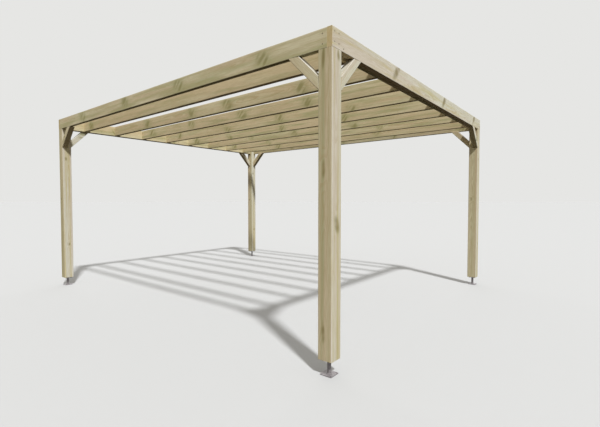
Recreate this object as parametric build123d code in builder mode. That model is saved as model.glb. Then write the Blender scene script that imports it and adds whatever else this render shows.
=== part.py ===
"""A free-standing pergola of planed softwood: four posts on raised steel feet, rebated boards round the
head, bearers inside the end boards, rafters between the bearers and knee braces in every corner.

The frame is +X across the front, +Y from the front to the back, +Z up. The origin is on the ground, at
the middle of the plan.
"""

import os
from math import sqrt

from build123d import *

os.makedirs("parts", exist_ok=True)

# Overall sizes, in millimetres
front_length = 4000.0
side_length = 4930.0
clear_height = 2345.0

# Timber sections
post_size = 120.0
board_thickness = 45.0
board_height = 145.0
brace_size = 70.0

# Eased edges of the planed timber. Sawn ends stay square
post_arris = 5.0
board_arris = 3.5
brace_arris = 3.5

# Roof
rafter_count = 8
end_gap = 277.0

# A brace's long leg, from the inner corner of post and beam to its lower edge
brace_leg = 280.0

# Steel feet
post_lift = 115.0
ground_plate_size = 100.0
head_plate_size = 90.0
plate_thickness = 6.0
plate_corner = 3.0
stem_radius = 15.0
weld_leg = 4.0
anchor_spacing = 76.0
anchor_hole_radius = 5.5
screw_spacing = 64.0
screw_hole_radius = 4.0

# Places worked out from the sizes above
front_face = side_length / 2
side_face = front_length / 2
top_height = clear_height + board_height
post_from_side = side_face - post_size / 2
post_from_front = front_face - post_size / 2
bay_half_width = side_face - post_size
bay_half_depth = front_face - post_size
side_beam_length = side_length - 2 * board_thickness
bearer_face = front_face - 2 * board_thickness
rafter_room = front_length - 2 * board_thickness - 2 * end_gap - board_thickness
rafter_spacing = rafter_room / (rafter_count - 1)
brace_short_leg = brace_leg - brace_size * sqrt(2)
board_middle_height = clear_height + board_height / 2

sides = {"left": -1, "right": 1}
ends = {"front": -1, "back": 1}


def finish(part, name):
    """Label a finished piece and write its file."""
    part.label = name
    export_step(part, f"parts/{name}.step")


def post(name, side, end):
    """A post with both outer faces of its head rebated to the boards, leaving a square tongue inside."""
    centre = (side * post_from_side, end * post_from_front)
    tongue_offset = post_size / 2 - board_thickness / 2
    with BuildPart() as timber:
        with BuildSketch(Plane.XY.offset(post_lift)):
            with Locations(centre):
                RectangleRounded(post_size, post_size, post_arris)
        extrude(amount=top_height - post_lift)
        with BuildSketch(Plane.XY.offset(clear_height)):
            with Locations((centre[0] + side * tongue_offset, centre[1])):
                Rectangle(board_thickness, post_size)
            with Locations((centre[0], centre[1] + end * tongue_offset)):
                Rectangle(post_size, board_thickness)
        extrude(amount=board_height, mode=Mode.SUBTRACT)
    finish(timber.part, name)


def board(name, length, across, centre):
    """A board on edge with eased arrises. across is True where it runs along X."""
    plane = Plane.YZ if across else Plane.XZ
    with BuildPart() as timber:
        with BuildSketch(Plane(centre, x_dir=plane.x_dir, z_dir=plane.z_dir)):
            RectangleRounded(board_thickness, board_height, board_arris)
        extrude(amount=length / 2, both=True)
    finish(timber.part, name)


def brace(name, side, end, along_front):
    """A knee brace at 45 degrees, cut square to the post at one end and level under the beam at the other.

    Its face is drawn in the plane of the outer face, from the inner corner of post and beam, and it is
    extruded inwards.
    """
    if along_front:
        corner = (side * bay_half_width, end * front_face, clear_height)
        plane = Plane(corner, x_dir=(-side, 0, 0), z_dir=(0, -end, 0))
        along_post = Axis.X
    else:
        corner = (side * side_face, end * bay_half_depth, clear_height)
        plane = Plane(corner, x_dir=(0, -end, 0), z_dir=(-side, 0, 0))
        along_post = Axis.Y
    down = -1 if plane.y_dir.Z > 0 else 1
    with BuildPart() as timber:
        with BuildSketch(plane):
            with BuildLine():
                Polyline(
                    (0, down * brace_short_leg),
                    (brace_short_leg, 0),
                    (brace_leg, 0),
                    (0, down * brace_leg),
                    close=True,
                )
            make_face()
        extrude(amount=brace_size)
        ends_of_brace = timber.faces().filter_by(Axis.Z) + timber.faces().filter_by(along_post)
        long_edges = timber.edges() - ends_of_brace.edges()
        fillet(long_edges, radius=brace_arris)
    finish(timber.part, name)


def drilled_plate(centre, size, hole_spacing, hole_radius):
    """Draw a square plate with clipped corners and a hole near each one, in the sketch that is open."""
    with Locations(centre):
        plate = Rectangle(size, size)
        chamfer(plate.vertices(), length=plate_corner)
        with GridLocations(hole_spacing, hole_spacing, 2, 2):
            Circle(hole_radius, mode=Mode.SUBTRACT)


def foot(name, side, end):
    """A raised foot: a drilled ground plate, a round stem with welds and a drilled head plate."""
    centre = (side * post_from_side, end * post_from_front)
    head_underside = post_lift - plate_thickness
    with BuildPart() as steel:
        with BuildSketch():
            drilled_plate(centre, ground_plate_size, anchor_spacing, anchor_hole_radius)
        extrude(amount=plate_thickness)
        with BuildSketch(Plane.XY.offset(head_underside)):
            drilled_plate(centre, head_plate_size, screw_spacing, screw_hole_radius)
        extrude(amount=plate_thickness)
        with BuildSketch(Plane(origin=(*centre, 0), x_dir=(1, 0, 0), z_dir=(0, -1, 0))):
            with BuildLine():
                Polyline(
                    (0, plate_thickness),
                    (stem_radius + weld_leg, plate_thickness),
                    (stem_radius, plate_thickness + weld_leg),
                    (stem_radius, head_underside - weld_leg),
                    (stem_radius + weld_leg, head_underside),
                    (0, head_underside),
                    close=True,
                )
            make_face()
        revolve(axis=Axis((*centre, 0), (0, 0, 1)))
    finish(steel.part, name)


# Posts and feet
for end_name, end in ends.items():
    for side_name, side in sides.items():
        post(f"{end_name}_{side_name}_post", side, end)
        foot(f"{end_name}_{side_name}_foot", side, end)

# Boards round the head: the end boards run through, the side boards butt against them
for end_name, end in ends.items():
    beam_y = end * (front_face - board_thickness / 2)
    bearer_y = end * (bearer_face + board_thickness / 2)
    board(f"{end_name}_beam", front_length, True, (0, beam_y, board_middle_height))
    board(f"{end_name}_bearer", 2 * bay_half_width, True, (0, bearer_y, board_middle_height))
for side_name, side in sides.items():
    beam_x = side * (side_face - board_thickness / 2)
    board(f"{side_name}_beam", side_beam_length, False, (beam_x, 0, board_middle_height))

# Rafters between the bearers
for number in range(rafter_count):
    rafter_x = (number - (rafter_count - 1) / 2) * rafter_spacing
    board(f"rafter_{number + 1}", 2 * bearer_face, False, (rafter_x, 0, board_middle_height))

# Two knee braces to a post
for end_name, end in ends.items():
    for side_name, side in sides.items():
        brace(f"{end_name}_{side_name}_{end_name}_brace", side, end, True)
        brace(f"{end_name}_{side_name}_side_brace", side, end, False)

print("rafter spacing", round(rafter_spacing, 2), "overall", front_length, side_length, top_height)
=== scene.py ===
"""Looks of a garden pergola: planed pressure-treated pine on galvanised steel feet.

Every timber is a closed surface worked out with numpy: a rectangle with eased corners, carried along the
timber between its two sawn ends. The steel feet keep their own shape and get welds and coach screws.
"""

from math import pi, radians

import bpy
import numpy as np
from bpy.props import FloatProperty, FloatVectorProperty, PointerProperty
from mathutils import Matrix, Vector


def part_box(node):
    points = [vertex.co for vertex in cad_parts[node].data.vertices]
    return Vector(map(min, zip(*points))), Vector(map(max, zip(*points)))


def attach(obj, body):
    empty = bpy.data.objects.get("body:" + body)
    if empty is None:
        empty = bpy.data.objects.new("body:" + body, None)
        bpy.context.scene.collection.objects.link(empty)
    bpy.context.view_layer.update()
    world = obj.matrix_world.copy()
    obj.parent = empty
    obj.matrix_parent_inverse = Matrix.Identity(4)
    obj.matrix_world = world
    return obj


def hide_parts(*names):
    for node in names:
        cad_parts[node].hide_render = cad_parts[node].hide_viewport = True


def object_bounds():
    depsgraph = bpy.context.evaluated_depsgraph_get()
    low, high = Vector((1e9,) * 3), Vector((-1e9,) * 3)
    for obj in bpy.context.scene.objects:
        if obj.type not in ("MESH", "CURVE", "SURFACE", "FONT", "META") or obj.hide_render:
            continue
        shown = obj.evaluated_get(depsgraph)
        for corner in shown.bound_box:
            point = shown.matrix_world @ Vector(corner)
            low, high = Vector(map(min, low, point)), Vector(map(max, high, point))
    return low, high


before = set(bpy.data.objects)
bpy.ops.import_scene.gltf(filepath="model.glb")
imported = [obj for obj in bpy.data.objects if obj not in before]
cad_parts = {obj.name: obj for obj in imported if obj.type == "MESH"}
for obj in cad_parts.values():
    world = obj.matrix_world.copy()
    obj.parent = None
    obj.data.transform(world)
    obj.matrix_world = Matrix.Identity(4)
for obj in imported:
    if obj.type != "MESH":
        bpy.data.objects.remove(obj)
cad_box = [list(corner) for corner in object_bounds()]

bl_info = {
    "name": "Garden pergola",
    "version": (1, 0, 0),
    "blender": (4, 5, 0),
    "location": "3D View > Sidebar > Pergola",
    "description": "Builds the timbers, screws, steel feet and studio of a pine pergola",
    "category": "Add Mesh",
}

# Sides and ends of the frame: which way each one faces along X or Y
sides = {"left": -1, "right": 1}
ends = {"front": -1, "back": 1}

# Sizes of the frame, in metres, read from its own pieces. Its faces are measured from the middle
side_face, front_face, top_height = cad_box[1]
clear_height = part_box("front_beam")[0].z
board_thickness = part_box("front_beam")[1].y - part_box("front_beam")[0].y
post_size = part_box("front_left_post")[1].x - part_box("front_left_post")[0].x
brace_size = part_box("front_left_front_brace")[1].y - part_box("front_left_front_brace")[0].y
post_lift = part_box("front_left_post")[0].z
rafter_count = sum(name.startswith("rafter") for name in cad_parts)
brace_names = [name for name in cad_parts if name.endswith("_brace")]

# Sizes of a foot, in metres, which its box doesn't give
plate_thickness = 0.006
stem_radius = 0.015
head_screw_spacing = 0.064

# Screws, in metres: from the end of a board and below its top, as the photograph shows them
end_board_screws = ((0.031, 0.031), (0.031, 0.104), (0.086, 0.031), (0.086, 0.104), (0.147, 0.122))
side_board_screws = ((0.084, 0.037), (0.084, 0.11))

# Screws of the bearers, in three of the gaps between rafters, and two at each end of a brace: from its end
# and from its middle
bearer_screw_gaps = (1, 4, 7)
bearer_screw_depths = (0.037, 0.11)
brace_screw_inset = 0.05
brace_screw_offset = 0.017

# Knots that the photograph shows, in metres from the front end or the left end of the timber. The first
# rafter looks clear there, so its only knot lies near its back end
front_beam_knots = (1.05, 2.36, 3.65)
left_beam_knots = (0.625, 1.789, 2.874, 4.037)
rafter_knots = {1: (4.5,), 2: (0.812, 1.938, 2.646, 3.729), 3: (1.1, 2.2, 3.316, 4.408)}

# The rest of a knot of the front beam: place across, half length, half height, lean and direction
front_beam_knot = (0.025, 0.032, 0.095, 42, "v")

# Knots of a post: height, place across, half length, half width, lean and direction
near_post_knots = (
    (1.1, 0.005, 0.055, 0.024, -16, "w"),
    (2.305, 0.02, 0.03, 0.014, -6, "w"),
    (1.5, 0.012, 0.055, 0.012, 2, "v"),
    (0.33, 0.014, 0.07, 0.011, -2, "v"),
    (2.28, 0.016, 0.07, 0.01, 2, "v"),
)
post_knots = (
    (0.62, 0.01, 0.02, 0.012, 5, "w"),
    (1.9, -0.015, 0.022, 0.012, -5, "w"),
    (1.3, 0.02, 0.02, 0.011, 4, "v"),
)

# Stripes of salts down the posts and along the lower half of the left beam's outer face: in metres from
# the timber's middle along its second and third direction, and half the stripe's width. The last one lies
# far outside any timber
post_stripes = {"left": (-0.06, 0.018, 0.027), "right": (0.06, -0.02, 0.025)}
left_beam_stripe = (0.0225, -0.05, 0.075)
no_stripe = (9.0, 9.0, 0.01)

# Painted sunlight: how strongly the faces that see the sun are painted paler and bluer, and the way towards
# that sun
painted_sun_strength = 0.85
sunwards = (-0.1, -0.75, 0.65)

# The looks of the timbers, in the words of treated_pine. A knot that lies inside a board only stains its
# face: an olive cloud with a few leaning strokes in it
smudged = {"cloud": 0.55, "strokes": (0.034, 0.2, 0.38, 0.62), "stain_reach": 1.6, "knot_strength": 0.0}
post_look = {"stain_reach": 1.8, "knot_strength": 0.3, "salts": 0.7, "streak_length": 3.0, "tone": 1.065}
# Posts get painted sunlight on the faces that see the sun
post_look |= {"boxed": True, "weathered": painted_sun_strength}
front_beam_look = {"stain_reach": 1.6, "knot_strength": 0.42, "salts": 0.5, "tone": 1.06}
left_beam_look = {**smudged, "salts": 0.6, "tone": 1.09, "stripe": left_beam_stripe}
# Braces get painted sunlight on the faces that see the sun
brace_look = {**smudged, "cloud": 0.0, "salts": 0.15, "tone": 1.08, "weathered": painted_sun_strength}

# The first two rafters are the tannest boards, and the others hold more salts
tan_rafter_look = {**smudged, "salts": 0.6, "tans": (0.25, 0.5), "tone": 1.075}
third_rafter_look = {**smudged, "salts": 0.9, "tans": (0.33, 0.56), "tone": 1.09}
back_rafter_look = {**third_rafter_look, "tone": 1.14}
rafter_looks = {1: tan_rafter_look, 2: tan_rafter_look, 3: third_rafter_look}


def linear(code):
    """An sRGB hex colour as linear red, green and blue: each share above the toe is raised to 2.4."""
    shares = np.array([int(code[k : k + 2], 16) for k in (1, 3, 5)]) / 255
    curve = np.where(shares > 0.04045, ((shares + 0.055) / 1.055) ** 2.4, shares / 12.92)
    return tuple(float(share) for share in curve)


def add_node(tree, kind, inputs=None, **settings):
    """Add one node, set it up, and give each input a value or another node's output."""
    made = tree.nodes.new(kind)
    for name, value in settings.items():
        setattr(made, name, value)
    for key, value in (inputs or {}).items():
        if isinstance(value, bpy.types.NodeSocket):
            tree.links.new(value, made.inputs[key])
        else:
            made.inputs[key].default_value = value
    return made


def new_material(name):
    """A material and its node tree, which is emptied."""
    material = bpy.data.materials.new(name)
    material.use_nodes = True
    material.node_tree.nodes.clear()
    return material, material.node_tree


# Sizes and colours that a user would change


class PergolaTimber(bpy.types.PropertyGroup):
    """The planed timbers and the look of their wood."""

    post_arris: FloatProperty(
        name="Post arris", description="Radius of a post's eased corners", default=0.005, unit="LENGTH"
    )
    board_arris: FloatProperty(
        name="Board arris", description="Radius of a board's eased corners", default=0.0035, unit="LENGTH"
    )
    end_ease: FloatProperty(
        name="End ease", description="Width of the sanded edge round a sawn end", default=0.001, unit="LENGTH"
    )
    wave_depth: FloatProperty(
        name="Planing wave", description="Depth of the shallow waves on a face", default=0.0004, unit="LENGTH"
    )
    rafter_bow: FloatProperty(
        name="Rafter bow", description="Most that a rafter bends sideways", default=0.0012, unit="LENGTH"
    )
    ring_spacing: FloatProperty(
        name="Ring spacing", description="Distance between growth rings", default=0.0075, unit="LENGTH"
    )
    sapwood: FloatVectorProperty(
        name="Sapwood", description="Plain planed wood", default=linear("#D0C8A7"), size=3, subtype="COLOR"
    )
    heartwood: FloatVectorProperty(
        name="Heartwood", description="Tan patches", default=linear("#CBBB9B"), size=3, subtype="COLOR"
    )
    treated: FloatVectorProperty(
        name="Treated wood", description="Olive streaks", default=linear("#A2A47A"), size=3, subtype="COLOR"
    )
    latewood: FloatVectorProperty(
        name="Latewood", description="Dark part of a ring", default=linear("#A8936A"), size=3, subtype="COLOR"
    )
    smudge: FloatVectorProperty(
        name="Smudge", description="Stain beside a knot", default=linear("#888255"), size=3, subtype="COLOR"
    )
    knot: FloatVectorProperty(
        name="Knot", description="Heart of a knot", default=linear("#806440"), size=3, subtype="COLOR"
    )
    sawn_end: FloatVectorProperty(
        name="Sawn end", description="End grain, darker", default=linear("#C2AB76"), size=3, subtype="COLOR"
    )
    # Painted highlight on the eased arrises, on wood the sanding left pale
    sanded: FloatVectorProperty(
        name="Arris", description="Wood sanded pale", default=linear("#DDD6BE"), size=3, subtype="COLOR"
    )
    # Painted sunlight: the colour that multiplies the faces turned to the sun, paler and bluer
    painted_sun_tint: FloatVectorProperty(
        name="Painted sun tint",
        description="What the sun leaves of a face's colour",
        default=(0.945, 1.028, 1.31),
        size=3,
        max=2.0,
        subtype="COLOR",
    )
    # Painted shade: the colour that multiplies level tops, greyer and darker, so that tops under the high
    # lamp stay below white
    dust: FloatVectorProperty(
        name="Painted top shade",
        description="What dust leaves of a level top's colour",
        default=(0.72, 0.745, 0.83),
        size=3,
        subtype="COLOR",
    )


class PergolaFixings(bpy.types.PropertyGroup):
    """The screws in the timber and the steel of the feet."""

    head_radius: FloatProperty(
        name="Screw head", description="Radius of a countersunk head", default=0.0055, unit="LENGTH"
    )
    hexagon: FloatProperty(
        name="Coach screw", description="Width across a coach screw's flats", default=0.013, unit="LENGTH"
    )
    weld_radius: FloatProperty(
        name="Weld bead", description="Radius of the bead round a stem", default=0.0032, unit="LENGTH"
    )
    zinc: FloatVectorProperty(
        name="Zinc", description="Galvanised steel", default=linear("#888385"), size=3, subtype="COLOR"
    )
    coat: FloatVectorProperty(
        name="Screw coat", description="Coated screw head", default=linear("#6A6048"), size=3, subtype="COLOR"
    )


class PergolaStage(bpy.types.PropertyGroup):
    """The floor, the lamps and the camera."""

    key_strength: FloatProperty(name="Key light", description="Strength of the high soft sun", default=4.27)
    fill_strength: FloatProperty(name="Fill light", description="Strength of the lamp behind", default=1.1)
    ambient: FloatProperty(name="Ambient", description="Strength of the light all round", default=0.62)
    lens: FloatProperty(name="Lens", description="Focal length on a 36 mm sensor, in mm", default=22.8)


# Shapes


def unit_noise(count, seed, waves):
    """A smooth random line from -1 to 1 with about the given number of waves: random values joined by
    cosine steps."""
    values = np.random.default_rng(seed).uniform(-1, 1, waves + 2)
    where = np.linspace(0, waves, count)
    start = np.floor(where).astype(int)
    share = (1 - np.cos(pi * (where - start))) / 2
    return values[start] * (1 - share) + values[start + 1] * share


def eased_rectangle(half_a, half_b, easing=(1, 1, 1, 1)):
    """Points round a rectangle with eased corners, as four arrays: where the point is with no radius, how it
    moves for each metre of radius, the way outwards, and 1 on an arris or 0 on a flat.

    On a corner the point is corner + radius * (direction - diagonal), with the direction turning through a
    quarter circle, and each corner takes its own share of the radius. On a flat the movement is a straight
    mix of that at the two arcs' ends.
    """
    arc_steps = 5
    flat_points = 5
    near_arris = 0.009
    turn = np.linspace(0, pi / 2, arc_steps + 1)
    corners = np.array([(1, 1), (-1, 1), (-1, -1), (1, -1)])
    halves = np.array([half_a, half_b])
    rows = []
    for number, corner in enumerate(corners):
        after = (number + 1) % 4
        angle = turn + number * pi / 2
        out = np.stack([np.cos(angle), np.sin(angle)], 1)
        moves = easing[number] * (out - corner)
        arc = np.column_stack([np.tile(corner * halves, (len(out), 1)), moves, out, np.ones(len(out))])
        length = np.abs((corners[after] - corner) * halves).sum()
        along = np.linspace(near_arris, length - near_arris, flat_points)[:, None] / length
        flat = np.column_stack([
            (1 - along) * corner * halves + along * corners[after] * halves,
            (1 - along) * moves[-1] + along * easing[after] * (out[-1] - corners[after]),
            np.tile(out[-1], (flat_points, 1)),
            np.zeros(flat_points),
        ])
        rows += [arc, flat]
    table = np.concatenate(rows)
    return table[:, 0:2], table[:, 2:4], table[:, 4:6], table[:, 6]


def closed_surface(rings, first_pole=None, last_pole=None):
    """Points and triangles of a closed surface: squares, halved, between one ring and the next, and a fan
    from each pole to its ring. With no poles the last ring joins the first. It faces outwards."""
    count, around = rings.shape[:2]
    points = rings.reshape(-1, 3)
    here = np.arange(around)
    after = np.roll(here, -1)
    low = np.arange(count if first_pole is None else count - 1)[:, None] * around
    high = (low + around) % (count * around)
    faces = [
        np.stack([low + here, low + after, high + after], -1).reshape(-1, 3),
        np.stack([low + here, high + after, high + here], -1).reshape(-1, 3),
    ]
    if first_pole is not None:
        last = (count - 1) * around
        faces.append(np.stack([np.full(around, len(points)), after, here], 1))
        faces.append(np.stack([np.full(around, len(points) + 1), last + here, last + after], 1))
        points = np.concatenate([points, [first_pole], [last_pole]])
    faces = np.concatenate(faces)
    a, b, c = (points[faces[:, k]] - points.mean(0) for k in range(3))
    if np.einsum("ij,ij->i", a, np.cross(b, c)).sum() < 0:
        faces = faces[:, ::-1]
    return points, faces


def copies(surface, places):
    """The same surface once in every place. A place is an origin and three directions, and a point is
    origin + x * first + y * second + z * third."""
    points, faces = surface
    origins = np.array([place[0] for place in places])
    turns = np.array([place[1] for place in places])
    moved = origins[:, None] + np.einsum("nk,pkj->pnj", points, turns)
    numbers = faces + (np.arange(len(places)) * len(points))[:, None, None]
    return moved.reshape(-1, 3), numbers.reshape(-1, 3)


def solid_mesh(name, points, faces, sharp=40):
    """Put the points and triangles into a mesh, smooth but for edges sharper than the given angle."""
    mesh = bpy.data.meshes.new(name)
    mesh.vertices.add(len(points))
    mesh.vertices.foreach_set("co", points.astype(np.float32).ravel())
    mesh.loops.add(faces.size)
    mesh.loops.foreach_set("vertex_index", faces.astype(np.int32).ravel())
    mesh.polygons.add(len(faces))
    mesh.polygons.foreach_set("loop_start", np.arange(0, faces.size, 3, dtype=np.int32))
    mesh.update(calc_edges=True)
    mesh.polygons.foreach_set("use_smooth", np.ones(len(faces), bool))
    mesh.set_sharp_from_angle(angle=radians(sharp))
    return mesh


def add_piece(name, mesh, material):
    """Put a finished mesh into the scene as a piece that rides on the frame."""
    piece = bpy.data.objects.new(name, mesh)
    bpy.context.scene.collection.objects.link(piece)
    mesh.materials.append(material)
    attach(piece, "root")
    return piece


def straight_axes(node, along):
    """Middle, directions, half width, half height and length of a timber that fills its node's box. The
    first direction runs along the grain."""
    low, high = (np.array(corner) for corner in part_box(node))
    u = np.eye(3)[along]
    w = np.eye(3)[1 if along == 2 else 2]
    v = np.cross(w, u)
    size = high - low
    return (low + high) / 2, (u, v, w), abs(v @ size) / 2, abs(w @ size) / 2, size[along]


def brace_axes(node):
    """The same for a brace, which lies at 45 degrees across its node's box. Its lower edge runs from corner
    to corner of the box, so its middle is half its width nearer to the joint of post and beam."""
    low, high = (np.array(corner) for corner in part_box(node))
    centre = (low + high) / 2
    size = high - low
    level = 1 - int(np.argmin(size))
    inwards = -np.sign(centre[level]) * np.eye(3)[level]
    u = (inwards + np.eye(3)[2]) / np.sqrt(2)
    w = (np.eye(3)[2] - inwards) / np.sqrt(2)
    half = brace_size / 2
    return centre + w * half, (u, np.cross(w, u), w), half, half, np.sqrt(2) * size[2] - 2 * half


def timber(node, axes, arris, seed, slant=0.0, bow=0.0, head=None, **look):
    """A planed timber in the place of a CAD node.

    A point is middle + u * distance + v * a + w * b, where (a, b) goes round the eased rectangle and the
    distance runs from one sawn end to the other. On a slanted end the distance grows or shrinks by b. The
    corner radius wanders along the timber, shallow waves go into the faces and fade out before the ends, and
    a bow is a parabola that is nothing at the ends. Above a post's shoulders the rectangle is that of its
    tongue. Each sawn end is closed by rings at a few shares of the way from its middle to its rim.
    """
    ring_step = 0.03
    fewest_steps = 12
    shoulder_step = 0.0002
    radius_swing = 0.18
    swing_length = 0.15
    wave_length = 0.35
    waves_round = 3
    fade_length = 0.1
    spokes = np.array([0.85, 0.6, 0.3])[:, None, None]
    settings = bpy.context.scene.pergola_timber
    middle, (u, v, w), half_a, half_b, length = axes
    base, moves, outward, edge = eased_rectangle(half_a, half_b)
    ease = settings.end_ease / length
    share = np.linspace(0, 1, max(int(length / ring_step), fewest_steps) + 1)
    if head:
        shoulder = (head["height"] - middle[2]) / length + 0.5
        share = np.sort(np.append(share, [shoulder, shoulder + shoulder_step / length]))
    share = np.concatenate([[0, ease], share[1:-1], [1 - ease, 1]])
    count = len(share)

    bases = np.tile(base, (count, 1, 1))
    slopes = np.tile(moves, (count, 1, 1))
    if head:
        tongue, tongue_moves = eased_rectangle(*head["halves"], easing=head["easing"])[:2]
        bases[share > shoulder] = tongue + head["offset"]
        slopes[share > shoulder] = tongue_moves
    radius = arris * (1 + radius_swing * unit_noise(count, seed, max(int(length / swing_length), 2)))
    rings = bases + slopes * radius[:, None, None]

    fade = np.clip(np.minimum(share, 1 - share) * length / fade_length, 0, 1)[:, None]
    along_wave = unit_noise(count, seed + 1, max(int(length / wave_length), 2))[:, None]
    across_wave = np.cos(np.arange(len(base)) / len(base) * waves_round * 2 * pi + seed)
    depth = settings.wave_depth * fade * (1 + along_wave * across_wave) / 2 * (1 - edge)
    depth[[0, -1]] += settings.end_ease
    rings = rings - outward * depth[..., None]
    rings[..., 0] += (bow * 4 * share * (1 - share))[:, None]

    half = length / 2 - slant * bases[..., 1]
    distance = (2 * share[:, None] - 1) * half
    walls = middle + distance[..., None] * u + rings[..., 0:1] * v + rings[..., 1:2] * w
    poles = walls[[0, -1]].mean(1)
    caps = [poles[k] + (walls[-k] - poles[k]) * spokes for k in (0, 1)]
    points, faces = closed_surface(np.concatenate([caps[0][::-1], walls, caps[1]]), *poles)

    mesh = solid_mesh(node, points, faces)
    marks = np.zeros(len(points), np.float32)
    first = len(spokes) * len(base)
    marks[first : first + count * len(base)] = np.tile(edge, count)
    mesh.attributes.new("arris", "FLOAT", "POINT").data.foreach_set("value", marks)
    pine = treated_pine(node, middle, (u, v, w), seed, **look)
    piece = add_piece(f"pine_{node}", mesh, pine)
    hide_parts(node)


def facing_axes(way):
    """Three directions at right angles, the last of which is the given one. The first is square to it and to
    a direction that no screw has."""
    aslant = (0.3, 0.5, 0.81)
    z = np.array(way, float)
    x = np.cross(z, aslant)
    x /= np.linalg.norm(x)
    return np.array([x, np.cross(z, x), z])


def screw_head(radius):
    """A countersunk head with a six-lobed socket, a little proud of the wood.

    Each ring is a size, a swing and a height, as shares of the head's radius. It lies at size + swing *
    cos(6 * angle) from the middle, so only the rings of the socket have a swing.
    """
    around = 24
    underside = -0.45
    socket = 0.42
    lobe = 0.09
    socket_floor = -0.3
    profile = (
        (0.5, 0, underside),
        (1.0, 0, -0.1),
        (1.0, 0, 0.0),
        (0.95, 0, 0.035),
        (0.6, 0, 0.05),
        (socket, lobe, 0.045),
        (socket * 0.95, lobe, -0.25),
        (0.2, 0, socket_floor),
    )
    turn = np.arange(around) / around * 2 * pi
    rings = []
    for size, swing, height in profile:
        reach = size + swing * np.cos(6 * turn)
        rings.append(np.stack([reach * np.cos(turn), reach * np.sin(turn), np.full(around, height)], 1))
    return closed_surface(radius * np.array(rings), (0, 0, underside * radius), (0, 0, socket_floor * radius))


def coach_screw(width):
    """A hexagon head on a washer, from the plate outwards.

    The washer's rings are circles. The head's rings are hexagons, half the width divided by the cosine of
    the angle from the middle of a flat, and its crown is cut back to a circle. Each ring is a reach and a
    height.
    """
    around = 36
    hidden_radius = 0.003
    washer_radius = 0.0085
    washer_top = 0.0016
    washer_ease = 0.0003
    head_top = 0.0072
    turn = np.arange(around) / around * 2 * pi
    flat = (turn + pi / 6) % (pi / 3) - pi / 6
    half = width / 2
    hexagon = half / np.cos(flat)
    profile = (
        (hidden_radius, 0.0),
        (washer_radius, 0.0),
        (washer_radius, washer_top - 0.0002),
        (washer_radius - washer_ease, washer_top),
        (half * 1.02, washer_top),
        (hexagon, washer_top + 0.0002),
        (hexagon, head_top - 0.001),
        (np.minimum(hexagon, half * 1.06), head_top - 0.0004),
        (half * 0.95, head_top - 0.0001),
    )
    rings = [np.stack([r * np.cos(turn), r * np.sin(turn), np.full(around, z)], 1) for r, z in profile]
    return closed_surface(np.array(rings), (0, 0, 0), (0, 0, head_top))


def weld_bead(stem, radius):
    """A rippled bead round the foot of a stem: a circle carried round a circle. Its radius swells with every
    drop of the weld, by the sine of half the drops times the angle, and a little more on one side than on
    another, by the sine of three times the angle."""
    around = 16
    drops = 26
    steps_per_drop = 6
    ripple = 0.16
    unevenness = 0.05
    out_of_stem = 0.45
    above_plate = 0.4
    count = drops * steps_per_drop
    turn = (np.arange(count) / count * 2 * pi)[:, None]
    section = np.arange(around) / around * 2 * pi
    thick = radius * (1 + ripple * np.abs(np.sin(drops * turn / 2)) + unevenness * np.sin(3 * turn + 1))
    reach = stem + radius * out_of_stem + thick * np.cos(section)
    height = radius * above_plate + thick * np.sin(section)
    rings = np.stack([reach * np.cos(turn), reach * np.sin(turn), height], -1)
    return closed_surface(rings)


# Wood and metal


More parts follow.
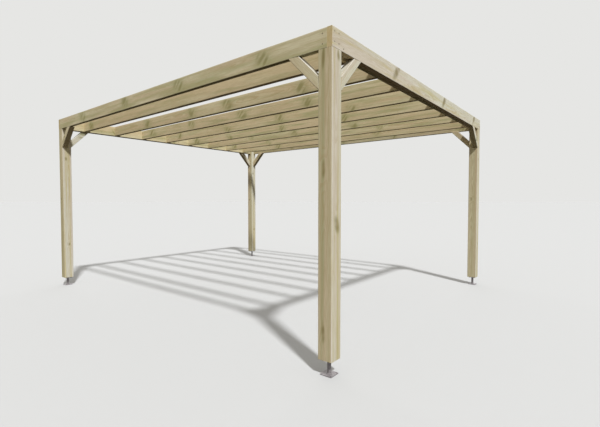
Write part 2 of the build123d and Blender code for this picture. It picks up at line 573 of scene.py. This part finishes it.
def treated_pine(
    node,
    middle,
    axes,
    seed,
    knots,
    knot_strength,
    stain_reach,
    strokes=(0.055, 0.3, 0.25, 0.62),
    cloud=0.0,
    salts=1.0,
    tans=(0.4, 0.6),
    streak_length=1.0,
    stripe=no_stripe,
    tone=1.0,
    boxed=False,
    weathered=0.0,
):
    """Planed, pressure-treated pine: pale wood with tan and olive streaks from the salts, growth rings round
    a pith that wanders along the timber, knots with stained grain beside them, and a matt open surface.

    Rings lie 2 to 4 mm apart on real pine and fibres are under 0.1 mm wide. Both are drawn coarser here, so
    that they show.

    A knot is its place along and across the timber, half its length, half its height, its lean in degrees,
    and the direction that it runs through, v or w. Its heart is as strong as knot_strength. Strokes of
    stained grain lie within stain_reach times its size: strokes holds their width and length and the noise
    where one starts and is full. An olive cloud as strong as cloud lies round it.

    salts is the strength of the olive streaks, and tans the noise where a tan one starts and is full. All
    streaks are streak_length times as long as usual. A stripe is its place along v and w and its half width.
    tone lightens every colour, boxed puts the pith inside the timber, and weathered is how strongly the faces
    that see the sun get painted sunlight, a paler and less yellow colour.
    """
    settings = bpy.context.scene.pergola_timber
    rng = np.random.default_rng(seed + 1000)
    material, tree = new_material(f"treated_pine_{node}")
    offset = rng.uniform(-40, 40, 3)
    shift = tone * rng.uniform(0.985, 1.015)
    shades = {
        name: (*(np.array(getattr(settings, name)) * shift), 1)
        for name in ("sapwood", "heartwood", "treated", "latewood", "smudge", "knot", "sawn_end")
    }

    place = add_node(tree, "ShaderNodeTexCoord")
    turn = Matrix(axes).transposed()
    local = add_node(
        tree,
        "ShaderNodeMapping",
        {"Vector": place.outputs["Object"], "Location": middle, "Rotation": turn.to_euler()},
        vector_type="TEXTURE",
    ).outputs[0]

    # Everything wavers across the grain by a few millimetres, and the pith wanders by a few centimetres.
    # The noise's own middle is 0.5, so each step also shifts by half its reach
    course = [local]
    shifts = [0.0]
    for scale, reach in (((5, 30, 30), 0.008), ((0.9, 0, 0), 0.09)):
        at = add_node(tree, "ShaderNodeMapping", {"Vector": local, "Location": offset, "Scale": scale})
        noise = add_node(tree, "ShaderNodeTexNoise", {"Vector": at.outputs[0], "Scale": 1.0, "Detail": 1.5})
        course.append(add_node(
            tree,
            "ShaderNodeVectorMath",
            {0: noise.outputs["Color"], 1: (0, reach, reach), 2: course[-1]},
            operation="MULTIPLY_ADD",
        ).outputs[0])
        shifts.append(shifts[-1] + reach / 2)

    # Distance to the nearest knot, which is 1 at its rim. A knot runs right through the timber
    endless = 1000
    nearest = None
    for along, across, half_length, half_height, lean, through in knots:
        spot = np.array([along, across if through == "w" else 0, across if through == "v" else 0])
        size = (half_length, half_height, endless) if through == "w" else (half_length, endless, half_height)
        tilt = (0, 0, radians(lean)) if through == "w" else (0, radians(lean), 0)
        shape = add_node(
            tree,
            "ShaderNodeMapping",
            {"Vector": course[1], "Location": spot + [0, shifts[1], shifts[1]],
             "Rotation": tilt, "Scale": size},
            vector_type="TEXTURE",
        )
        one = add_node(
            tree, "ShaderNodeVectorMath", {0: shape.outputs[0]}, operation="LENGTH"
        ).outputs["Value"]
        if nearest is not None:
            one = add_node(tree, "ShaderNodeMath", {0: nearest, 1: one}, operation="MINIMUM").outputs[0]
        nearest = one

    # Rings: distance from the pith, swollen round a knot, with some years wider than others
    if boxed:
        pith = rng.uniform(-0.025, 0.025, 2)
    else:
        pith = np.array([rng.choice([-1, 1]) * rng.uniform(0.03, 0.07), rng.uniform(-0.035, 0.035)])
    spoke = add_node(
        tree,
        "ShaderNodeMapping",
        {"Vector": course[2], "Location": (0, -pith[0] - shifts[2], -pith[1] - shifts[2]),
         "Scale": (0, 1, 1)},
    )
    radius = add_node(
        tree, "ShaderNodeVectorMath", {0: spoke.outputs[0]}, operation="LENGTH"
    ).outputs["Value"]
    swell = add_node(
        tree,
        "ShaderNodeMapRange",
        {"Value": nearest, "From Min": 0, "From Max": 4, "To Min": 0.018, "To Max": 0},
        interpolation_type="SMOOTHSTEP",
    )
    radius = add_node(tree, "ShaderNodeMath", {0: radius, 1: swell.outputs[0]}, operation="ADD").outputs[0]
    years = add_node(
        tree, "ShaderNodeMath", {0: radius, 1: settings.ring_spacing}, operation="DIVIDE"
    ).outputs[0]
    crowding = add_node(tree, "ShaderNodeTexNoise", {"W": years, "Scale": 0.35}, noise_dimensions="1D")
    years = add_node(
        tree, "ShaderNodeMath", {0: crowding.outputs[0], 1: 2.5, 2: years}, operation="MULTIPLY_ADD"
    )
    ring = add_node(tree, "ShaderNodeMath", {0: years.outputs[0]}, operation="FRACT").outputs[0]

    # Streaks: noise drawn out along the grain, or at a slant beside a knot. Each is its length and width in
    # metres, its slant in degrees, the noise's values where it starts and is full, its strength and detail.
    # The width also moves the noise, so that no two look alike
    streaks = {}
    for name, length, width, slant, low, high, strength, detail in (
        ("tan", 1.3 * streak_length, 0.1, 0, *tans, 0.9, 3.0),
        ("olive", 0.6 * streak_length, 0.034, 0, 0.42, 0.7, 0.9 * salts, 3.5),
        ("rings", 0.7 * streak_length, 0.11, 0, 0.35, 0.6, 1.0, 1.0),
        ("fibre", 0.09, 0.0028, 0, 0.34, 0.68, 0.4, 1.5),
        ("stain", *strokes[:2], -40, *strokes[2:], 1.0, 0.5),
    ):
        at = add_node(
            tree,
            "ShaderNodeMapping",
            {"Vector": course[1], "Location": offset + width, "Rotation": (0, radians(slant), 0),
             "Scale": (length, width, width)},
            vector_type="TEXTURE",
        )
        inputs = {"Vector": at.outputs[0], "Scale": 1.0, "Detail": detail}
        noise = add_node(tree, "ShaderNodeTexNoise", inputs)
        streaks[name] = add_node(
            tree,
            "ShaderNodeMapRange",
            {"Value": noise.outputs[0], "From Min": low, "From Max": high, "To Max": strength},
            interpolation_type="SMOOTHSTEP",
        ).outputs[0]

    # Distance from the stripe's middle, which is 1 at its rim
    v, w, half_width = stripe
    band = add_node(
        tree,
        "ShaderNodeMapping",
        {"Vector": course[1], "Location": (0, v + shifts[1], w + shifts[1]),
         "Scale": (endless, half_width, half_width)},
        vector_type="TEXTURE",
    )
    band = add_node(tree, "ShaderNodeVectorMath", {0: band.outputs[0]}, operation="LENGTH").outputs["Value"]

    masks = {}
    for name, value, low, high, full, none in (
        ("late", ring, 0.4, 0.95, 0.0, 0.42),
        ("beside", nearest, 0.3 * stain_reach, stain_reach, 0.75, 0.0),
        ("cloud", nearest, 0.5, 2.7, cloud, 0.0),
        ("heart", nearest, 0.2, 1.4, knot_strength, 0.0),
        ("stripe", band, 0.15, 1.0, 0.75, 0.0),
    ):
        masks[name] = add_node(
            tree,
            "ShaderNodeMapRange",
            {"Value": value, "From Min": low, "From Max": high, "To Min": full, "To Max": none},
            interpolation_type="SMOOTHSTEP",
        ).outputs[0]
    for name, streak in (("late", "rings"), ("beside", "stain"), ("stripe", "rings")):
        both = {0: masks[name], 1: streaks[streak]}
        masks[name] = add_node(tree, "ShaderNodeMath", both, operation="MULTIPLY").outputs[0]

    # Sawn ends drink more of the salts and dry darker. Faces turned to the sun get painted sunlight, a paler
    # and
    # less yellow colour: 1.3 times as much on plain wood, less 2.4 times the strength of an olive streak.
    # Level tops get painted shade, a greyer colour, and eased arrises a painted highlight, on wood the
    # sanding left pale.
    # A share below 0 or above 1 is cut off where it is mixed
    facing = {}
    for name, way in (("end", axes[0]), ("sun", sunwards), ("sky", (0, 0, 1))):
        facing[name] = add_node(
            tree, "ShaderNodeVectorMath", {0: place.outputs["Normal"], 1: way}, operation="DOT_PRODUCT"
        ).outputs["Value"]
    end = add_node(tree, "ShaderNodeMath", {0: facing["end"]}, operation="ABSOLUTE")
    end = add_node(
        tree,
        "ShaderNodeMapRange",
        {"Value": end.outputs[0], "From Min": 0.6, "From Max": 0.7, "To Max": 0.55},
    )
    sun = add_node(
        tree,
        "ShaderNodeMapRange",
        {"Value": facing["sun"], "From Min": 0, "From Max": 0.75, "To Max": weathered},
    )
    plain = add_node(tree, "ShaderNodeMath", {0: streaks["olive"], 1: -2.4, 2: 1.3}, operation="MULTIPLY_ADD")
    sun = add_node(tree, "ShaderNodeMath", {0: sun.outputs[0], 1: plain.outputs[0]}, operation="MULTIPLY")
    # Painted highlight on the eased arrises, on wood the sanding left pale: 22 percent of the arris colour
    arris = add_node(tree, "ShaderNodeAttribute", attribute_name="arris")
    arris = add_node(tree, "ShaderNodeMath", {0: arris.outputs["Fac"], 1: 0.22}, operation="MULTIPLY")

    colour = shades["sapwood"]
    for mask, shade, blend in (
        (streaks["tan"], shades["heartwood"], "MIX"),
        (streaks["olive"], shades["treated"], "MIX"),
        (masks["stripe"], shades["treated"], "MIX"),
        (masks["cloud"], shades["treated"], "MIX"),
        (masks["late"], shades["latewood"], "MIX"),
        (streaks["fibre"], shades["latewood"], "MIX"),
        (masks["beside"], shades["smudge"], "MIX"),
        (masks["heart"], shades["knot"], "MIX"),
        (end.outputs[0], shades["sawn_end"], "MIX"),
        # Painted highlight on the arrises
        (arris.outputs[0], (*settings.sanded, 1), "MIX"),
        # Painted sunlight on the faces that see the sun
        (sun.outputs[0], (*settings.painted_sun_tint, 1), "MULTIPLY"),
        # Painted shade on level tops
        (facing["sky"], (*settings.dust, 1), "MULTIPLY"),
    ):
        inputs = {0: mask, 6: colour, 7: shade}
        colour = add_node(tree, "ShaderNodeMix", inputs, data_type="RGBA", blend_type=blend).outputs[2]

    height = add_node(tree, "ShaderNodeMath", {0: masks["late"], 1: streaks["fibre"]}, operation="ADD")
    bump = add_node(
        tree, "ShaderNodeBump", {"Height": height.outputs[0], "Strength": 0.35, "Distance": 0.0008}
    )
    inputs = {"Base Color": colour, "Roughness": 0.8, "Specular IOR Level": 0.06, "Normal": bump.outputs[0]}
    shader = add_node(tree, "ShaderNodeBsdfPrincipled", inputs)
    add_node(tree, "ShaderNodeOutputMaterial", {"Surface": shader.outputs[0]})
    return material


def galvanised_steel():
    """Hot-dip galvanised steel: zinc that froze in spangles 5 to 15 mm wide, each with its own shade, under
    a chalky skin of weather. The skin makes it a dull grey that mirrors little, so only a third of it is
    metal, and its gloss comes and goes in clouds 40 mm wide."""
    settings = bpy.context.scene.pergola_fixings
    material, tree = new_material("galvanised_steel")
    zinc = np.array(settings.zinc)
    place = add_node(tree, "ShaderNodeTexCoord")
    spangle = add_node(tree, "ShaderNodeTexVoronoi", {"Vector": place.outputs["Object"], "Scale": 90.0})
    cloud = add_node(
        tree, "ShaderNodeTexNoise", {"Vector": place.outputs["Object"], "Scale": 25.0, "Detail": 3.0}
    )
    inputs = {0: spangle.outputs["Color"], 6: (*zinc * 0.72, 1), 7: (*zinc * 1.1, 1)}
    shade = add_node(tree, "ShaderNodeMix", inputs, data_type="RGBA")
    inputs = {"Value": cloud.outputs[0], "From Min": 0.3, "From Max": 0.7, "To Min": 0.42, "To Max": 0.62}
    gloss = add_node(tree, "ShaderNodeMapRange", inputs)
    bump = add_node(
        tree, "ShaderNodeBump", {"Height": cloud.outputs[0], "Strength": 0.25, "Distance": 0.0005}
    )
    shader = add_node(
        tree,
        "ShaderNodeBsdfPrincipled",
        {"Base Color": shade.outputs[2], "Metallic": 0.35, "Roughness": gloss.outputs[0],
         "Normal": bump.outputs[0]},
    )
    add_node(tree, "ShaderNodeOutputMaterial", {"Surface": shader.outputs[0]})
    return material


def coated_screw():
    """A hardened screw with a baked ceramic coat: a dull olive brown, mottled about every millimetre where
    the driver and the weather have worn it."""
    settings = bpy.context.scene.pergola_fixings
    material, tree = new_material("coated_screw_steel")
    coat = np.array(settings.coat)
    place = add_node(tree, "ShaderNodeTexCoord")
    wear = add_node(
        tree, "ShaderNodeTexNoise", {"Vector": place.outputs["Object"], "Scale": 900.0, "Detail": 2.0}
    )
    inputs = {0: wear.outputs[0], 6: (*coat * 0.7, 1), 7: (*coat * 1.3, 1)}
    shade = add_node(tree, "ShaderNodeMix", inputs, data_type="RGBA")
    inputs = {"Base Color": shade.outputs[2], "Metallic": 0.6, "Roughness": 0.5}
    shader = add_node(tree, "ShaderNodeBsdfPrincipled", inputs)
    add_node(tree, "ShaderNodeOutputMaterial", {"Surface": shader.outputs[0]})
    return material


# Knots, the operators and the stage


def knots_at(length, places):
    """Knots at the given distances from a timber's start. They sit a little above or below its middle, and
    every other one is longer and leans less."""
    most_across = 0.012
    half_lengths = (0.065, 0.078)
    half_height = 0.05
    leans = (-30, -21)
    knots = []
    for number, place in enumerate(places):
        across = most_across * ((number * 7 % 5) / 2 - 1)
        kind = number % 2
        knots.append((place - length / 2, across, half_lengths[kind], half_height, leans[kind], "v"))
    return knots


def scattered_knots(length, seed, first=0.2):
    """One knot about every 1.1 m, as pine sets a whorl of branches each year. The first comes up to 0.7 m
    after the given distance from the timber's start, and all are moved along by up to 0.15 m."""
    spacing = 1.1
    end_margin = 0.1
    most_along = 0.15
    rng = np.random.default_rng(seed + 500)
    places = np.arange(rng.uniform(first, first + 0.7), length - end_margin, spacing)
    return [
        (
            place - length / 2 + rng.uniform(-most_along, most_along),
            rng.uniform(-0.04, 0.04),
            rng.uniform(0.04, 0.07),
            rng.uniform(0.03, 0.06),
            rng.uniform(-40, -15),
            "v",
        )
        for place in places
    ]


class PERGOLA_OT_posts(bpy.types.Operator):
    """Build the four posts, with heads rebated to the boards"""

    bl_idname = "pergola.posts"
    bl_label = "Posts"

    def execute(self, context):
        settings = context.scene.pergola_timber
        half = (post_size - board_thickness) / 2
        seed = 11
        for end_name, end in ends.items():
            for side_name, side in sides.items():
                node = f"{end_name}_{side_name}_post"
                # Only the tongue's inner corner keeps the post's arris. The sawn ones have a tenth of it
                inner = (-side, -end)
                easing = [1.0 if inner == corner else 0.1 for corner in ((1, 1), (-1, 1), (-1, -1), (1, -1))]
                head = {
                    "height": clear_height,
                    "halves": (half, half),
                    "offset": np.array([-side, -end]) * board_thickness / 2,
                    "easing": easing,
                }
                axes = straight_axes(node, 2)
                own_knots = near_post_knots if node == "front_left_post" else post_knots
                knots = [(height - axes[0][2], *rest) for height, *rest in own_knots]
                look = {**post_look, "knots": knots, "stripe": post_stripes[side_name]}
                timber(node, axes, settings.post_arris, seed, head=head, **look)
                seed += 1
        return {"FINISHED"}


class PERGOLA_OT_beams(bpy.types.Operator):
    """Build the boards round the head and the bearers inside the end boards"""

    bl_idname = "pergola.beams"
    bl_label = "Beams and bearers"

    def execute(self, context):
        settings = context.scene.pergola_timber
        seed = 31
        for name in ("front_beam", "back_beam", "front_bearer", "back_bearer", "left_beam", "right_beam"):
            axes = straight_axes(name, 1 if name in ("left_beam", "right_beam") else 0)
            length = axes[-1]
            if name == "front_beam":
                knots = [(place - length / 2, *front_beam_knot) for place in front_beam_knots]
                look = front_beam_look
            elif name == "left_beam":
                knots = knots_at(length, left_beam_knots)
                look = left_beam_look
            else:
                knots = scattered_knots(length, seed)
                look = smudged
            # Painted sunlight on the outer boards only, none on the bearers
            weathered = painted_sun_strength if name.endswith("beam") else 0.0
            timber(name, axes, settings.board_arris, seed, knots=knots, weathered=weathered, **look)
            seed += 1
        return {"FINISHED"}


class PERGOLA_OT_rafters(bpy.types.Operator):
    """Build the rafters between the bearers, each a little bowed"""

    bl_idname = "pergola.rafters"
    bl_label = "Rafters"

    def execute(self, context):
        settings = context.scene.pergola_timber
        for number in range(1, rafter_count + 1):
            name = f"rafter_{number}"
            seed = number + 51
            axes = straight_axes(name, 1)
            if number in rafter_knots:
                knots = knots_at(axes[-1], rafter_knots[number])
            else:
                knots = scattered_knots(axes[-1], seed, first=0.8)
            bow = settings.rafter_bow * np.cos(number * 2.1)
            look = rafter_looks.get(number, back_rafter_look)
            timber(name, axes, settings.board_arris, seed, bow=bow, knots=knots, **look)
        return {"FINISHED"}


class PERGOLA_OT_braces(bpy.types.Operator):
    """Build the eight knee braces"""

    bl_idname = "pergola.braces"
    bl_label = "Knee braces"

    def execute(self, context):
        # Each brace is cut from a longer piece with one knot, which may lie beyond the brace's ends
        stock_length = 1.2
        settings = context.scene.pergola_timber
        seed = 71
        for name in brace_names:
            knots = scattered_knots(stock_length, seed)
            axes = brace_axes(name)
            timber(name, axes, settings.board_arris, seed, slant=1.0, knots=knots, **brace_look)
            seed += 1
        return {"FINISHED"}


class PERGOLA_OT_screws(bpy.types.Operator):
    """Drive the countersunk screws of the boards, bearers and braces"""

    bl_idname = "pergola.screws"
    bl_label = "Countersunk screws"

    def execute(self, context):
        settings = context.scene.pergola_fixings
        rows = {"boards": [], "bearers": [], "braces": []}
        for side in sides.values():
            for end in ends.values():
                for from_end, below in end_board_screws:
                    spot = (side * (side_face - from_end), end * front_face, top_height - below)
                    rows["boards"].append((spot, (0, end, 0)))
                for from_corner, below in side_board_screws:
                    spot = (side * side_face, end * (front_face - from_corner), top_height - below)
                    rows["boards"].append((spot, (side, 0, 0)))
        for end_name, end in ends.items():
            low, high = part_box(f"{end_name}_bearer")
            face = high.y if end < 0 else low.y
            for gap in bearer_screw_gaps:
                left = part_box(f"rafter_{gap}")[1].x
                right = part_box(f"rafter_{gap + 1}")[0].x
                for below in bearer_screw_depths:
                    spot = ((left + right) / 2, face, top_height - below)
                    rows["bearers"].append((spot, (0, -end, 0)))
        for name in brace_names:
            middle, (u, v, w), half, _, length = brace_axes(name)
            reach = length / 2 + half - brace_screw_inset
            for way in (-1, 1):
                for across in (-brace_screw_offset, brace_screw_offset):
                    spot = middle + way * reach * u + across * v - half * w
                    rows["braces"].append((spot, -w))
        coat = coated_screw()
        for name, screws in rows.items():
            places = [(np.array(spot), facing_axes(way)) for spot, way in screws]
            mesh = solid_mesh(f"{name}_screws", *copies(screw_head(settings.head_radius), places), sharp=30)
            add_piece(f"screws_in_{name}", mesh, coat)
        return {"FINISHED"}


class PERGOLA_OT_feet(bpy.types.Operator):
    """Give the steel feet their zinc, and add the welds and the coach screws under each head plate"""

    bl_idname = "pergola.feet"
    bl_label = "Steel feet"

    def execute(self, context):
        settings = context.scene.pergola_fixings
        steel = galvanised_steel()
        for name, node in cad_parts.items():
            if name.endswith("_foot"):
                for slot in node.material_slots:
                    slot.material = steel
                middle = np.array([sum(corner) / 2 for corner in zip(*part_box(name))])
                upright = np.eye(3)
                hanging = np.diag([1.0, -1.0, -1.0])
                lower = np.array([*middle[:2], plate_thickness])
                upper = np.array([*middle[:2], post_lift - plate_thickness])
                bead = weld_bead(stem_radius, settings.weld_radius)
                welds = copies(bead, [(lower, upright), (upper, hanging)])
                mesh = solid_mesh(f"{name}_welds", *welds, sharp=60)
                add_piece(f"{name}_welds", mesh, steel)
                half = head_screw_spacing / 2
                spots = [upper + [x * half, y * half, 0] for x in (-1, 1) for y in (-1, 1)]
                heads = copies(coach_screw(settings.hexagon), [(spot, hanging) for spot in spots])
                mesh = solid_mesh(f"{name}_screws", *heads, sharp=25)
                add_piece(f"{name}_screws", mesh, steel)
        return {"FINISHED"}


class PERGOLA_OT_stage(bpy.types.Operator):
    """Set up the floor, the lamps, the world and the camera"""

    bl_idname = "pergola.stage"
    bl_label = "Stage"

    def execute(self, context):
        floor_reach = 400.0
        sun_direction = (-0.2675, -0.517, 0.813)
        fill_direction = (0.62, 0.58, 0.5)
        camera_place = (-4.22327, -3.95893, 1.27237)
        heading = 38.686
        tilt = -1.906
        settings = context.scene.pergola_stage
        scene = context.scene
        scene.view_settings.view_transform = "Standard"
        corners = np.array([(-1, -1, 0), (1, -1, 0), (1, 1, 0), (-1, 1, 0)]) * floor_reach
        mesh = bpy.data.meshes.new("floor")
        mesh.from_pydata(corners.tolist(), [], [(0, 1, 2, 3)])
        floor = bpy.data.objects.new("floor", mesh)
        scene.collection.objects.link(floor)
        mesh.materials.append(studio_floor())

        # The lamps' width is in degrees: a clear sun's shadow is a little softened, and the fill has no edge
        for name, direction, strength, spread in (
            ("key", sun_direction, settings.key_strength, 4),
            ("fill", fill_direction, settings.fill_strength, 70),
        ):
            lamp = bpy.data.lights.new(name, "SUN")
            lamp.energy = strength
            lamp.angle = radians(spread)
            sun = bpy.data.objects.new(name, lamp)
            sun.rotation_euler = Vector(direction).to_track_quat("Z", "Y").to_euler()
            scene.collection.objects.link(sun)

        studio_world(settings.ambient)
        camera_data = bpy.data.cameras.new("camera")
        camera_data.lens = settings.lens
        camera_data.sensor_width = 36.0
        camera = bpy.data.objects.new("camera", camera_data)
        camera.location = camera_place
        camera.rotation_euler = (radians(90 + tilt), 0, radians(heading - 90))
        scene.collection.objects.link(camera)
        scene.camera = camera
        return {"FINISHED"}


def seen_directly(tree):
    """1 for rays from the camera, from a mirror or through glass, and 0 for light that only bounces."""
    path = add_node(tree, "ShaderNodeLightPath").outputs
    seen = path["Is Camera Ray"]
    for way in ("Is Glossy Ray", "Is Transmission Ray"):
        seen = add_node(tree, "ShaderNodeMath", {0: seen, 1: path[way]}, operation="MAXIMUM").outputs[0]
    return seen


def studio_floor():
    """Matt floor that keeps the shadow. It looks pale but throws back little light, so the undersides of
    the boards stay dark."""
    material, tree = new_material("pale_studio_floor")
    pale = add_node(tree, "ShaderNodeBsdfDiffuse", {"Color": (*linear("#ADAEAF"), 1)})
    dark = add_node(tree, "ShaderNodeBsdfDiffuse", {"Color": (*linear("#2A241A"), 1)})
    mix = add_node(
        tree, "ShaderNodeMixShader", {0: seen_directly(tree), 1: dark.outputs[0], 2: pale.outputs[0]}
    )
    add_node(tree, "ShaderNodeOutputMaterial", {"Surface": mix.outputs[0]})
    return material


def studio_world(ambient):
    """Soft light from all round, seen as a pale backdrop."""
    world = bpy.data.worlds.new("studio")
    bpy.context.scene.world = world
    world.use_nodes = True
    tree = world.node_tree
    tree.nodes.clear()
    light = add_node(tree, "ShaderNodeBackground", {"Color": (*linear("#FFFBF2"), 1), "Strength": ambient})
    backdrop = add_node(tree, "ShaderNodeBackground", {"Color": (*linear("#E6E6E4"), 1), "Strength": 1.0})
    mix = add_node(
        tree, "ShaderNodeMixShader", {0: seen_directly(tree), 1: light.outputs[0], 2: backdrop.outputs[0]}
    )
    add_node(tree, "ShaderNodeOutputWorld", {"Surface": mix.outputs[0]})


class PERGOLA_PT_sidebar(bpy.types.Panel):
    """Buttons and sizes of the pergola"""

    bl_idname = "PERGOLA_PT_sidebar"
    bl_label = "Pergola"
    bl_space_type = "VIEW_3D"
    bl_region_type = "UI"
    bl_category = "Pergola"

    def draw(self, context):
        for operator in operators:
            self.layout.operator(operator.bl_idname)
        for group in groups:
            for name in groups[group].__annotations__:
                self.layout.prop(getattr(context.scene, group), name)


groups = {"pergola_timber": PergolaTimber, "pergola_fixings": PergolaFixings, "pergola_stage": PergolaStage}
operators = (
    PERGOLA_OT_posts,
    PERGOLA_OT_beams,
    PERGOLA_OT_rafters,
    PERGOLA_OT_braces,
    PERGOLA_OT_screws,
    PERGOLA_OT_feet,
    PERGOLA_OT_stage,
)


def register():
    """Register the classes and hang the settings on the scene."""
    for added in (*groups.values(), *operators, PERGOLA_PT_sidebar):
        bpy.utils.register_class(added)
    for name, group in groups.items():
        setattr(bpy.types.Scene, name, PointerProperty(type=group))


def unregister():
    """Take the settings and the classes away again."""
    for name in groups:
        delattr(bpy.types.Scene, name)
    for added in (PERGOLA_PT_sidebar, *reversed(operators), *groups.values()):
        bpy.utils.unregister_class(added)


def main():
    """Build every piece and the stage."""
    register()
    for operator in operators:
        group, action = operator.bl_idname.split(".")
        getattr(getattr(bpy.ops, group), action)()


if __name__ == "__main__":
    main()
